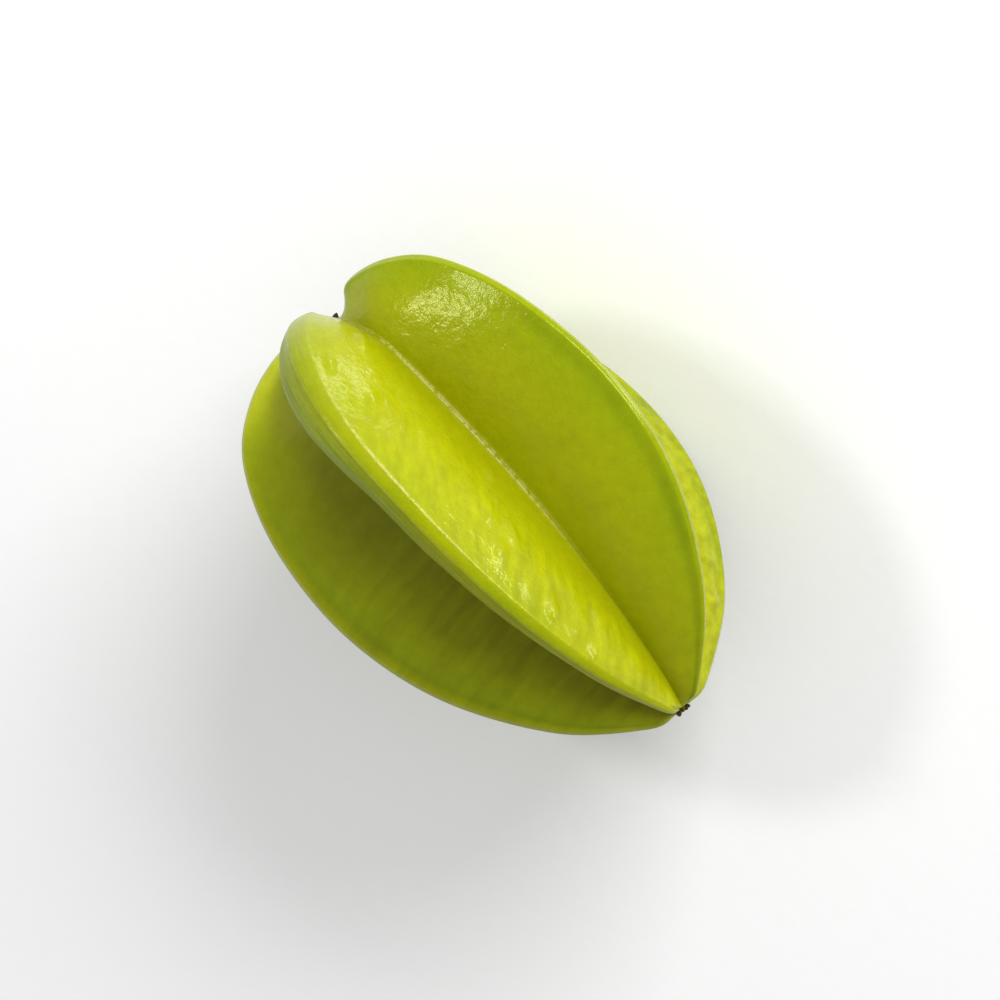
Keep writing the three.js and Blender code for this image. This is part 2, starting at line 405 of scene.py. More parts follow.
def finish_piece(piece, node):
    """The piece rides on the body and stands for its node, whose part is hidden."""
    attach(piece, BODY)
    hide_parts(node)


# ---- Settings ----


def setting(kind, from_given=lambda given: given, **options):
    """Gives a function that makes properties of one kind, whose defaults are given in a maker's
    own units."""

    def make(name, description, default):
        return kind(name=name, description=description, default=from_given(default), **options)

    return make


length = setting(FloatProperty, lambda size: size * MM, unit="LENGTH", precision=5)
angle = setting(FloatProperty, math.radians, subtype="ANGLE")
share = setting(FloatProperty, precision=3)
power = setting(FloatProperty, unit="POWER")
count = setting(IntProperty, min=3)
number = setting(IntProperty)
vector = setting(FloatVectorProperty)
offset = setting(FloatVectorProperty, lambda place: [x * MM for x in place], unit="LENGTH")
colour = setting(FloatVectorProperty, subtype="COLOR", size=3, min=0, max=1)


class FruitForm(PropertyGroup):
    """Sizes of the fruit and of the relief in its skin."""

    crest_depth: share("Crest Depth", "Depth of a crest against its half width", 0.45)
    crest_square: share("Crest Square", "Roundness of a crest: 2 is an ellipse, 1 a ridged roof", 1.45)
    face_bulge: share("Face Bulge", "How far a rib's side swells, against its width", 0.055)
    hollow_reach: share("Hollow Reach", "How far the sides are hollow from the stem end", 0.14)
    slim_share: share("Slim Share", "Width of the one slim crest against the others", 0.5)
    channel_depth: length("Channel Depth", "Depth of the channel along the foot of a crest", 0.12)
    channel_place: share("Channel Place", "Place of the channel, from the crease to the crest", 0.9)
    channel_width: share("Channel Width", "Half width of the channel, on the same scale", 0.08)
    swell_middle: vector(
        "Swell Middle", "How much taller the ribs stand towards +Y and upwards", (-0.008, 0.008, 0)
    )
    swell_towards_tip: vector(
        "Swell Towards Tip", "What the tip adds to that and the stem end takes off", (0.045, -0.125, 0)
    )
    bow: offset("Bow", "How far the core bows to the side and up, half way", (1.6, -0.4, 0))
    crest_sway: length("Crest Sway", "How far a crest wanders to either side", 0.5)
    sway_length: share("Sway Length", "Length of one sway against the crest's length", 0.6)
    sway_step: share("Sway Step", "How much further on in its sway each rib is, in radians", 2.4)
    crest_lean: length("Crest Lean", "How far the top crest leans over near the stem end", 1.4)
    lean_middle: share("Lean Middle", "Where along the crest it leans most", 0.2)
    lean_spread: share("Lean Spread", "Over how much of its length to either side", 0.1)
    flank_swell: length("Flank Swell", "How far the top rib's lower side swells near the stem end", 2.4)
    flank_middle: share("Flank Middle", "Where along the rib it swells most", 0.27)
    flank_spread: share("Flank Spread", "Over how much of its length to either side", 0.12)
    patches: length("Patches", "Height of the broad uneven patches of the sides", 0.5)
    furrows: length("Furrows", "Depth of the shallow furrows across the sides", 0.25)
    swellings: length("Swellings", "Height of the long swellings between the furrows", 0.8)
    furrow_spacing: length("Furrow Spacing", "Distance from one furrow to the next", 4.6)
    furrow_length: length("Furrow Length", "Length of a furrow", 12)
    furrow_slant: angle("Furrow Slant", "How far the furrows lean towards the blossom end", 20)
    furrow_turn: angle("Furrow Turn", "How much that differs from side to side", 28)
    wrinkles: length("Wrinkles", "Depth of the fine wrinkles", 0.14)
    seam: length("Seam", "Height of the fine seam along the middle of a crest", 0.07)
    seam_shift: length("Seam Shift", "How far the seam lies off the middle of the uppermost crest", -0.3)
    crease: length("Crease", "Height of the fine fold in the crease between two ribs", 0.3)
    stations: count("Stations", "Rings of points along the fruit", 188)
    half_steps: count("Steps", "Points across one side of a rib", 52)


class StubForm(PropertyGroup):
    """Sizes of the stalk stub."""

    length: length("Length", "How far the stub stands out of the stem pit", 3.3)
    radius: length("Radius", "Radius of the stub", 0.62)
    flare: share("Flare", "How much wider the stub is where it was cut", 0.2)
    lean: share("Lean", "How far the stub leans for each unit of its length", 0.3)
    lean_angle: angle("Lean Angle", "Which way round the core the stub leans", 112)
    furrows: share("Furrows", "Depth of the furrows along the stub, against its radius", 0.12)


class StyleForm(PropertyGroup):
    """Sizes of the dried styles."""

    reach: length("Reach", "How far each style spreads from the core", 2.0)
    rise: length("Rise", "How far the styles stand out past their seat", 1.3)
    radius: length("Radius", "Radius of a style where it leaves the head", 0.4)
    knob: length("Knob", "Radius of the knob on its end", 0.27)
    head_radius: length("Head Radius", "Radius of the head that the styles grow from", 0.95)
    turn: angle("Turn", "Angle round the core of the first style", 24)
    unevenness: length("Unevenness", "How far the shrivelled surface goes up and down", 0.24)
    seed: number("Seed", "Which uneven star is grown", 4)


class SkinTints(PropertyGroup):
    """Colours and gloss of the skin."""

    ripe: colour("Ripe", "The sides of the ribs near the creases", (0.275, 0.293, 0.001))
    unripe: colour("Unripe", "The sides near the crests", (0.205, 0.256, 0.001))
    channel: colour("Channel", "The greener channel along a crest's foot", (0.12, 0.17, 0.001))
    seam: colour("Seam", "The dry seam along a crest", (0.42, 0.4, 0.13))
    # This colour also lays a painted sheen on the top rib's far side.
    bloom: colour("Bloom", "The greyish bloom on the stem shoulders", (0.31, 0.35, 0.08))
    speck: colour("Speck", "The few brown specks", (0.16, 0.14, 0.01))
    roughness: share("Roughness", "Roughness of the waxy skin", 0.16)


class DryTints(PropertyGroup):
    """Colours of the stalk stub and of the dried styles."""

    bark: colour("Bark", "The dark dry stalk", (0.045, 0.03, 0.01))
    cut: colour("Cut", "Its cut end", (0.11, 0.06, 0.025))
    style: colour("Style", "The shrivelled styles", (0.045, 0.03, 0.003))
    straw: colour("Straw", "The paler hollow between them", (0.42, 0.36, 0.06))


class StageForm(PropertyGroup):
    """Floor and lights."""

    floor: colour("Floor", "The plain pale floor", (0.84, 0.84, 0.84))
    key: power("Key", "Power of the big light on the +Y side", 13.6)
    fill: power("Fill", "Power of the light beyond the stem end", 3.7)
    stem_card: power("Stem Card", "Power of the small light lying beside the stem end", 0.033)
    side_glow: power("Side Glow", "Power of the low light on the +Y side", 6.8)
    daylight: share("Daylight", "Strength of the even light from all round", 0.57)


class StarFruitSettings(PropertyGroup):
    """All settings of the star fruit."""

    fruit: PointerProperty(type=FruitForm)
    stub: PointerProperty(type=StubForm)
    style: PointerProperty(type=StyleForm)
    skin: PointerProperty(type=SkinTints)
    dry: PointerProperty(type=DryTints)
    stage: PointerProperty(type=StageForm)


# ---- Fruit ----

FACE_SHARE = 0.75  # of the points across a rib's side, those below its crest
STATION_EASE = 0.35  # how much closer the stations lie at both ends
FACE_EASE = 0.5  # how much closer the points lie at the crease and at the crest's foot
CREST_EASE = 1.4  # above 1, the points of a crest crowd towards its seam
OUTLINE_FINENESS = 24  # steps between two knots of an outline

FLANK_PLACE = 0.85  # where the swollen side swells most, from the crease to the crest
FLANK_WIDTH = 0.35

PATCH_SIZE = 22 * MM
WRINKLE_SIZE = 1.9 * MM
FURROW_STEP = 2.7  # how much the furrows differ from one side of a rib to the next
UNEVEN_STEP = 2.09  # the same for how green and how smooth it is
UNEVEN_START = 2.09


def profile_curve(name, knots):
    """A curve object through the knots of an outline, which the fruit's node tree samples."""
    curve = bpy.data.curves.new(name, "CURVE")
    curve.dimensions = "3D"
    spline = curve.splines.new("POLY")
    spline.points.add(len(knots) - 1)
    for point, knot in zip(spline.points, knots):
        point.co = (*(value * MM for value in knot), 1)
    return new_object(name, curve)


class FruitTree(GrowthTree):
    """The rule that the fruit's skin grows by: where each point of a plain tube belongs."""

    def __init__(self, form, crest_outline, crease_outline):
        super().__init__("star_fruit_growth")
        self.form = self.take(form)
        self.core_length = self.number("Core Length", CORE_LENGTH * MM)
        self.crest_outline = self.input("Crest Outline", "NodeSocketObject", crest_outline)
        self.crease_outline = self.input("Crease Outline", "NodeSocketObject", crease_outline)
        self.find_place()
        self.find_section()

    def find_place(self):
        """A point's height on the tube is its place along the fruit. Its angle round the tube
        gives its rib, its side of the rib and its place on that side."""
        tube_x, tube_y, tube_z = split(self.spot())
        even = tube_z + 0.5
        eased = (even * math.pi).cos() * -0.5 + 0.5
        self.along = even.mix(eased, STATION_EASE)
        self.off_core = (tube_x * tube_x + tube_y * tube_y).math("SQRT")
        turn_round = tube_y.math("ARCTAN2", tube_x) / (2 * math.pi)
        pitch_place = turn_round.math("FRACT") * RIB_COUNT
        self.rib = pitch_place.math("FLOOR").math("MINIMUM", RIB_COUNT - 1)
        within = pitch_place - self.rib
        self.side = (within - 0.5).math("SIGN")
        from_crease = (within * 2 - 1).math("ABSOLUTE").rest()
        even_across = (from_crease / FACE_SHARE).math("MINIMUM", 1)
        self.across = even_across - (even_across * (2 * math.pi)).sin() * (FACE_EASE / (2 * math.pi))
        even_over = ((from_crease - FACE_SHARE) / (1 - FACE_SHARE)).math("MAXIMUM", 0)
        self.over = (even_over.rest().math("MAXIMUM", 0) ** CREST_EASE).rest()

    def sample_outline(self, outline):
        """Place and direction on an outline, at the point's share of its length."""
        plain = add_node(self.tree, "GeometryNodeObjectInfo", {"Object": outline}).outputs["Geometry"]
        smooth = self.node("CurveSplineType", {"Curve": plain}, spline_type="CATMULL_ROM")
        inputs = {"Geometry": smooth, "Resolution": OUTLINE_FINENESS}
        inputs = {"Curves": self.node("SetSplineResolution", inputs), "Factor": self.along}
        sample = add_node(
            self.tree, "GeometryNodeSampleCurve", inputs, mode="FACTOR", use_all_curves=True
        )
        return tuple(split(sample.outputs[name]) for name in ("Position", "Tangent"))

    def find_section(self):
        """The half section of a rib at the point's station, from the crease to the crest: its
        place along the core, its height above the core and its distance from the rib's middle."""
        form = self.form
        (crest_x, crest_r, crest_half), (run_x, run_r, _) = self.sample_outline(self.crest_outline)
        (crease_x, crease_r, _), _ = self.sample_outline(self.crease_outline)
        run = (run_x * run_x + run_r * run_r).math("SQRT")
        inward_x = run_r / run
        inward_r = run_x / run * -1
        crest_half = crest_half * (self.rib.only(SLIM_RIB) * (form.slim_share - 1) + 1)
        depth = crest_half * form.crest_depth
        shoulder_x = crest_x + inward_x * depth
        shoulder_r = crest_r + inward_r * depth
        foot_r = crease_r * math.cos(RIB_PITCH / 2)
        foot_side = crease_r * math.sin(RIB_PITCH / 2)

        # The crest is a quarter of a superellipse that tapers on as the rib's side does.
        turn = self.over * (math.pi / 2)
        turn_cos = turn.cos().math("MAXIMUM", 0)
        turn_sin = turn.sin().math("MAXIMUM", 0)
        square = form.crest_square
        reach = (turn_cos ** square + turn_sin ** square) ** (square ** -1 * -1)
        rise = turn_sin * reach * depth

        width_x = shoulder_x - crease_x
        width_r = shoulder_r - foot_r
        width_side = crest_half - foot_side
        self.width = (width_x * width_x + width_r * width_r + width_side * width_side).math("SQRT")
        swollen = self.along.ramp(0.0, form.hollow_reach) * 2 - 1
        swollen = swollen * form.face_bulge
        bulge = (self.across * math.pi).sin() * self.width * swollen
        taper = (width_side / self.width) * -1 + swollen * math.pi
        flank = self.rib.only(TOP_RIB) * self.side.rest() * 0.5
        flank = flank * self.across.hill(FLANK_PLACE, FLANK_WIDTH)
        flank = flank * self.along.hill(form.flank_middle, form.flank_spread) * form.flank_swell
        channel_run = self.along.ramp(0.02, 0.16) * self.along.ramp(0.99, 0.88)
        channel = self.across.hill(form.channel_place, form.channel_width) * form.channel_depth
        self.section_x = crease_x.mix(shoulder_x, self.across) - inward_x * rise
        self.section_r = foot_r.mix(shoulder_r, self.across) - inward_r * rise
        self.section_side = (
            (foot_side.mix(crest_half, self.across) - taper * rise) * turn_cos * reach
            + bulge
            + flank * turn_cos
            - channel * channel_run
        )

    def grown_place(self):
        """Where the section's point goes round the core, with the fruit's uneven growth."""
        form = self.form
        sway_turn = self.along * (-2 * math.pi) / form.sway_length + self.rib * form.sway_step
        lean = self.along.hill(form.lean_middle, form.lean_spread) * (self.rib * RIB_PITCH).cos()
        sway = (self.along * math.pi).sin() * sway_turn.sin() * form.crest_sway + lean * form.crest_lean
        sideways = self.side * self.section_side + sway * self.across * self.across
        angle = self.rib * RIB_PITCH + sideways.math("ARCTAN2", self.section_r)
        lengthwise = self.section_x * 2 / self.core_length - 1
        middle_y, middle_z, _ = split(form.swell_middle)
        tip_y, tip_z, _ = split(form.swell_towards_tip)
        swell_y = middle_y + tip_y * lengthwise
        swell_z = middle_z + tip_z * lengthwise
        swell = angle.sin() * swell_y + angle.cos() * swell_z + 1
        distance = (self.section_r ** 2 + sideways ** 2).math("SQRT") * swell * self.off_core
        bow_y, bow_z, _ = split(form.bow)
        bow_share = (lengthwise ** 2).rest()
        return join(
            self.section_x,
            angle.sin() * distance + bow_y * bow_share,
            angle.cos() * distance + bow_z * bow_share,
        )

    def relief(self):
        """How far the skin stands out or in at a point of the smooth fruit."""
        form = self.form
        along, across, over = map(self.kept, ("along", "across", "over"))
        lengthwise, reach = self.kept("lengthwise") * MM, self.kept("reach") * MM
        rib_side = self.kept("rib_side")
        spot = self.spot()
        patch = noise_wire(spot, 1 / PATCH_SIZE, 3.1, detail=1.0) * form.patches
        uneven = ((rib_side * UNEVEN_STEP + UNEVEN_START).cos() * -1).clamped()
        wrinkle = noise_wire(spot, 1 / WRINKLE_SIZE, 1.3)
        wrinkle = wrinkle * (uneven * 0.8 + 0.2) * form.wrinkles

        slant = form.furrow_slant + (rib_side * FURROW_STEP).sin() * form.furrow_turn
        past = lengthwise * slant.cos() - reach * slant.sin()
        outward = lengthwise * slant.sin() + reach * slant.cos()
        furrow_place = join(
            past / form.furrow_spacing, outward / form.furrow_length, rib_side * FURROW_STEP
        )
        furrow = noise_wire(furrow_place, 1.0, 7.7, detail=1.0, distortion=0.4)
        furrow = furrow * (uneven * 0.6 + 0.7) * form.furrows
        swelling_gap, _ = cell_wires(furrow_place, 1.0, 2.0)
        swelling = swelling_gap.ramp(0.45, 0.0) * uneven * form.swellings

        on_side = across.ramp(1.0, 0.86) * across.ramp(0.0, 0.25)
        off_ends = along.ramp(0.0, 0.05) * along.ramp(1.0, 0.97)
        seam = self.kept("off_seam").math("ABSOLUTE").ramp(0.45, 0.0) * over.ramp(0.1, 0.5) * form.seam
        creased = along.ramp(0.05, 0.2) * along.ramp(0.9, 0.6)
        crease = across.ramp(0.04, 0.0) * creased * form.crease
        return ((patch + furrow + swelling + wrinkle) * on_side + seam + crease) * off_ends

    def skin(self):
        """The whole skin, laid down."""
        form = self.form
        off_seam = self.section_side * self.side - (self.rib * RIB_PITCH).cos() * form.seam_shift
        tube = self.tube(form.half_steps * (2 * RIB_COUNT), form.stations)
        skin = self.node("FlipFaces", {"Mesh": tube})
        for name, value in (
            ("along", self.along),
            ("across", self.across),
            ("over", self.over),
            ("lengthwise", self.section_x / MM),
            ("reach", self.across * self.width / MM),
            ("off_seam", off_seam / MM),
            ("rib_side", self.rib * 2 + self.side * 0.5),
        ):
            skin = self.keep(skin, name, value)
        skin = self.move(skin, self.grown_place())
        skin = self.lift(skin, self.relief())
        skin = self.lay_down(skin)

        # What would reach below the surface is pressed flat on it.
        x, y, z = split(self.spot())
        return self.move(skin, join(x, y, z.math("MAXIMUM", 0)))


class Skin(Look):
    """The waxy skin, coloured by where a point lies on its rib and by which rib it is on, with painted
    light and shade laid on some ribs.
    """

    def __init__(self, tints):
        super().__init__("waxy_skin", tints, "ripe")
        for name in ("along", "across", "over", "lengthwise", "reach", "off_seam", "rib_side"):
            setattr(self, name, self.stored(name))
        self.top_side = self.rib_side.only(TOP_SIDE)
        self.far_side = self.rib_side.ramp(0.0, FAR_SIDE + 0.1) * self.over.ramp(1.0, 0.5)
        self.on_crest = self.over.ramp(0.0, 0.15)
        self.patchy = self.noise(14, 2.0)
        self.mottled = self.noise(2.5, 5.0, detail=3.0)
        self.grainy = self.noise(0.45, 9.0, detail=1.0)
        self.dotted = self.noise(0.9, 6.0)

    def drawn_noise(self, x, y, seed, **settings):
        """Noise that is drawn out on a rib, in patches about 1 long in x and in y."""
        return noise_wire(join(x, y, 0.0), 1.0, seed, **settings)

    def ripen(self):
        """Yellow near the creases and greener towards the crests, most of all in the channels, with
        painted shade that darkens the colour towards the creases.
        """
        along, across, patchy = self.along, self.across, self.patchy
        uneven = (self.rib_side * UNEVEN_STEP + UNEVEN_START).cos()
        uneven = uneven - (uneven + 0.5) * self.over.ramp(0.3, 0.95)
        ripeness = across.ramp(0.3, 1.2) + patchy * 0.4 + uneven * 0.4
        self.lay("unripe", (ripeness - along.ramp(0.7, 1.0) * 0.3).clamped())
        channel = across.hill(0.94, 0.06) * along.ramp(0.25, 0.6)
        channel = (channel * (patchy * 0.6 + uneven * 0.4 + 0.6)).clamped()
        self.lay("channel", channel * 0.5)
        # Painted shade: the colour darkens towards the creases, more on the sides where uneven is -1.
        self.brighten(across.ramp(0.6, 0.0) * (uneven * 0.1 - 0.15))

    def shade_last_rib(self):
        """Painted light and shade on the last rib: a yellow painted rim light, its upper side painted
        lighter near the stem end, and painted shade on that side towards its crease, where the top rib
        shades it, with slanted streaks.
        """
        along, across, reach = self.along, self.across, self.reach
        upper = self.rib_side.ramp(LAST_SIDE - 0.3, LAST_SIDE - 0.1) * self.over.ramp(1.0, 0.4)
        painted_rim_light = self.rib_side.ramp(LAST_RIM - 0.6, LAST_RIM - 0.3)
        painted_rim_light = painted_rim_light * across.ramp(0.9, 1.0) * along.ramp(0.1, 0.3)
        # Painted light: the rim, and the upper side near the stem end, are laid in the lighter ripe
        # colour.
        self.lay("ripe", (painted_rim_light + upper * along.ramp(0.24, 0.1)).clamped() * 0.8)
        # Painted shade and light: darker towards the crease, where the top rib shades this side, and
        # lighter towards the rim and the stem end.
        painted_shade_and_light = across.ramp(0.3, 0.95) * 0.55 + along.ramp(0.4, 0.1) * 0.3 - 0.46
        painted_shade_and_light = painted_shade_and_light + along.ramp(0.24, 0.1) * across.ramp(0.6, 0.9) * 0.5
        streaks = self.drawn_noise(self.lengthwise * 0.3 - reach * 0.03, reach * 0.05, 4.0)
        streaks = streaks * along.ramp(0.3, 0.6) * 0.3
        self.brighten(upper * (painted_shade_and_light + self.patchy * 0.25 + streaks))

    def dapple(self):
        """Yellow on the top rib's far side, painted light and shade of its bumps, in dapples longer than
        wide, on its near side, and round blotches of painted reflection on the one side that has them."""
        along, run, reach = self.along, self.lengthwise, self.reach
        self.lay("ripe", self.far_side * along.ramp(0.4, 0.6) * 0.7)
        x, y = run * 0.29 - reach * 0.31, run * 0.09 + reach * 0.08
        # Painted light and shade: dapples that copy the bumps catching the light on the top rib's near
        # side.
        painted_bump_shading = self.drawn_noise(x, y, 2.0, distortion=0.3)
        painted_bump_shading = painted_bump_shading * self.top_side * along.ramp(0.2, 0.5) * 0.35
        # Painted reflections: blotches, lighter and darker, on the one side that has them.
        blotches = self.noise(2.6, 8.0) * self.rib_side.only(PAINTED_GLINT_SIDE) * 0.45
        self.brighten((painted_bump_shading + blotches) * self.over.ramp(0.3, 0.0) * self.across.ramp(0.15, 0.5))

    def frost(self):
        """A greyish bloom on the stem shoulders and the crests, which one side is bare of, a painted
        sheen in the bloom's colour on the top rib's far side, and painted light on the bare side near
        the stem.
        """
        along = self.along
        bloom = along.ramp(0.2, 0.04) + self.on_crest * along.ramp(0.5, 0.15) * 0.4
        bloom = bloom * (self.noise(5, 4.0) + 0.7)
        # Painted sheen: the top rib's far side takes the bloom's colour where it reflects light.
        flank = self.far_side * self.across.ramp(0.5, 0.8) * along.ramp(0.55, 0.3)
        bloom = (bloom + flank * (self.patchy + 0.5)).clamped() * 0.42
        bare = self.rib_side.only(BARE_SIDE) * self.over.ramp(1.0, 0.4)
        self.bloom = bloom * (bare * -0.8 + 1)
        self.lay("bloom", self.bloom)
        # Painted light on the bare side near the stem.
        self.brighten(bare * along.ramp(0.3, 0.1) * 0.15)

    def speckle(self):
        """Fine mottling, pale pores and a few brown specks."""
        self.brighten(self.mottled * 0.13 + self.grainy * 0.1)
        gap, kind = self.cells(1.3, 1.0)
        self.lay("seam", gap.ramp(0.16, 0.05) * kind.ramp(0.35, 0.6) * 0.28)
        gap, kind = self.cells(11, 6.0)
        self.lay("speck", gap.ramp(0.035, 0.02) * kind.ramp(0.55, 0.6) * 0.7)

    def line(self):
        """A dry seam along each crest, a fold in each crease with a dotted painted highlight, a broken
        painted highlight where the top rib's side turns into its crest, and fine streaks along the
        crests."""
        along, across, over = self.along, self.across, self.over
        seam = self.off_seam.math("ABSOLUTE").ramp(0.17, 0.05) * over.ramp(0.1, 0.3)
        self.lay("seam", seam * (self.mottled * 0.8 + 0.6).clamped() * 0.7)
        # Painted highlight: the fold in each crease is laid pale and dotted, as it catches the light.
        fold = across.hill(0.016, 0.009) * along.ramp(0.05, 0.2) * along.ramp(0.72, 0.4)
        self.fold = fold * (self.dotted * 3 + self.mottled + 0.8).clamped()
        self.lay("seam", self.fold)
        # Painted highlight: a broken pale line along the top rib's near shoulder.
        painted_shoulder_highlight = across.ramp(0.98, 1.0) * over.ramp(0.12, 0.02) * along.hill(0.41, 0.17) * self.top_side
        painted_shoulder_highlight = painted_shoulder_highlight * (self.dotted * 2 + self.mottled * 0.8 + 0.8)
        self.lay("seam", painted_shoulder_highlight.clamped() * 0.8)
        flank = self.far_side * across.ramp(0.6, 0.9) * along.ramp(0.8, 0.5) * 2.2
        streaks = self.drawn_noise(self.lengthwise * 0.06, self.off_seam * 2.2, 8.0)
        self.brighten(streaks * (self.on_crest + flank) * 0.16)

    def crinkles(self):
        """Height of the fine crinkles, most of all where the upper sides glint."""
        _, y, _ = split(self.spot)
        strength = self.along.ramp(0.6, 0.3) * y.ramp(-0.02, -0.005)
        strength = strength + self.top_side * self.along.ramp(0.4, 0.55)
        crinkle = self.noise(1.3, 3.0, detail=3.0, distortion=0.4)
        return crinkle * (strength * 0.055 + 0.02) + self.grainy * 0.004 + self.fold * 0.03

    def dullness(self):
        """Roughness, higher under the bloom and the painted sheen, on the last rib and on the top rib's
        far side.
        """
        dull = (self.rib_side.ramp(LAST_RIM - 0.7, LAST_RIM - 0.1) + self.far_side) * 0.25
        return self.bloom * 0.25 + dull + self.mottled * 0.06 + self.tints.roughness


def skin_material(tints):
    """The waxy skin, with each layer of colour over the last."""
    skin = Skin(tints)
    skin.ripen()
    skin.shade_last_rib()
    skin.dapple()
    skin.frost()
    skin.speckle()
    skin.line()
    return skin.finish(skin.dullness(), skin.crinkles(), {"IOR": 1.3, "Specular Tint": (1, 1, 0.45, 1)})


class STARFRUIT_OT_grow_fruit(Operator):
    """Grow the fruit's ribbed body with its skin"""

    bl_idname = "starfruit.grow_fruit"
    bl_label = "Grow Fruit"

    def execute(self, context):
        settings = context.scene.star_fruit
        crest = profile_curve("crest_outline", CREST_LINE)
        crease = profile_curve("crease_outline", CREASE_LINE)
        growth = FruitTree(settings.fruit, crest, crease)
        fruit = growth.grow("fruit_skin", growth.skin(), skin_material(settings.skin))
        for outline in (crest, crease):
            bpy.data.objects.remove(outline)
        finish_piece(fruit, "fruit")
        return {"FINISHED"}


# ---- Stalk stub ----

STUB_AROUND = 60
STUB_STATIONS = 40
STUB_CAP_RINGS = 6
STUB_FURROWS = 9


def stub_tree(form):
    """A short woody stub that leans out of the stem pit, furrowed, with a flared cut end."""
    growth = GrowthTree("stalk_stub_growth")
    form = growth.take(form)
    x, y, z = split(growth.spot())
    out = z + 0.5
    turn = y.math("ARCTAN2", x)
    twisted = turn + out * 0.8
    furrow = ((twisted * STUB_FURROWS).sin() + (twisted * 5 + 1.2).sin()) * form.furrows * 0.5
    flare = out.ramp(0.65, 0.95) * form.flare
    rounded = out.ramp(0.93, 1.0) * -0.12 + out.ramp(0.12, 0.0) * 0.12
    knots = noise_wire(join(x, y, z * 3), 2.0, 5.0) * 0.12
    radius = (furrow + flare + rounded + knots + 1) * form.radius
    off_middle = (x * x + y * y).math("SQRT")
    hollow = out.ramp(0.98, 1.0) * off_middle.ramp(0.9, 0.1) * form.radius * 0.5
    far = out * form.length - hollow
    lean_y = form.lean_angle.sin() * form.lean * far
    lean_z = form.lean_angle.cos() * form.lean * far
    place = join(far * -1 - SEAT_GAP * MM, y * radius + lean_y, x * radius + lean_z)
    stub = growth.keep(growth.tube(STUB_AROUND, STUB_STATIONS, STUB_CAP_RINGS), "out", out)
    return growth, growth.lay_down(growth.move(stub, place))


def bark_material(tints):
    """Dark dry bark, with a browner cut end."""
    look = Look("dry_stalk", tints, "bark")
    out = look.stored("out")
    fibres = look.noise(0.25, 3.0, detail=3.0)
    blotches = look.noise(0.8, 7.0)
    look.lay("cut", out.ramp(0.9, 1.0))
    look.brighten(fibres * 0.7 + blotches * 0.5)
    return look.finish(fibres * 0.1 + 0.8, fibres * 0.05, {"IOR": 1.4})


class STARFRUIT_OT_grow_stub(Operator):
    """Grow the woody stub of the stalk in the stem pit"""

    bl_idname = "starfruit.grow_stub"
    bl_label = "Grow Stalk Stub"

    def execute(self, context):
        settings = context.scene.star_fruit
        growth, geometry = stub_tree(settings.stub)
        stub = growth.grow("stalk_stub", geometry, bark_material(settings.dry))
        finish_piece(stub, "stem_stub")
        return {"FINISHED"}


# ---- Dried styles ----

STYLE_WELD = 0.055 * MM  # size of the voxels that weld the styles to their head
STYLE_RING = 16  # sides of a style
STYLE_STEPS = 12  # rings along it


def style_arm(growth, form):
    """One style: a tapered stalk that curves out from the core, with a knob on its end."""
    handle_x = form.rise * 0.4
    end = join(form.rise * 0.78, 0.0, form.reach - form.knob)
    bend = growth.node(
        "CurvePrimitiveBezierSegment",
        {
            "Resolution": STYLE_STEPS,
            "Start": join(form.rise * 0.25, 0.0, 0.0),
            "Start Handle": join(handle_x, 0.0, form.reach * 0.35),
            "End Handle": join(handle_x, 0.0, form.reach * 0.7),
            "End": end,
        },
    )
    way_out = Wire(growth.node("SplineParameter"))
    tapered = growth.node("SetCurveRadius", {"Curve": bend, "Radius": way_out * -0.5 + 1})
    sizes = {"Resolution": STYLE_RING, "Radius": form.radius}
    ring = growth.node("CurvePrimitiveCircle", sizes)
    sweep = {"Curve": tapered, "Profile Curve": ring, "Fill Caps": True}
    knob = growth.node("MeshIcoSphere", {"Radius": form.knob, "Subdivisions": 3})
    return growth.together(growth.node("CurveToMesh", sweep), growth.put(knob, end))


def style_tree(form):
    """Five shrivelled styles that spread like a star from a small head."""
    growth = GrowthTree("dried_style_growth")
    form = growth.take(form)
    index = Wire(growth.node("InputIndex"))

    def drawn(low, high, step):
        """A random number for each style, from low to high."""
        inputs = {"ID": index, "Seed": form.seed + step, RANDOM_LOW: low, RANDOM_HIGH: high}
        node = add_node(growth.tree, "FunctionNodeRandomValue", inputs, data_type="FLOAT")
        return Wire(node.outputs[RANDOM_NUMBER])

    turn = (index * RIB_PITCH + form.turn + drawn(-0.15, 0.15, 1)) * -1
    size = drawn(0.85, 1.1, 2)
    styles = growth.node(
        "InstanceOnPoints",
        {
            "Points": growth.node("Points", {"Count": STYLE_COUNT}),
            "Instance": style_arm(growth, form),
            "Rotation": join(turn, 0.0, 0.0),
            "Scale": join(size, size, size),
        },
    )
    ball = growth.node("MeshIcoSphere", {"Radius": form.head_radius, "Subdivisions": 4})
    head = growth.put(ball, join(form.rise * 0.27, 0.0, 0.0), (0.5, 1, 1))
    star = growth.node("RealizeInstances", {0: growth.together(styles, head)})

    # It shrivels, and its seat stays flat.
    x, y, z = split(growth.spot())
    dents = [noise_wire(growth.spot(), 1 / (0.9 * MM), seed) for seed in (1.0, 2.0, 3.0)]
    away = [place + dent * form.unevenness for place, dent in zip((x, y, z), dents)]
    place = join(away[0].math("MAXIMUM", 0) + STYLE_SEAT * MM, away[1], away[2])
    return growth, growth.lay_down(growth.move(star, place))


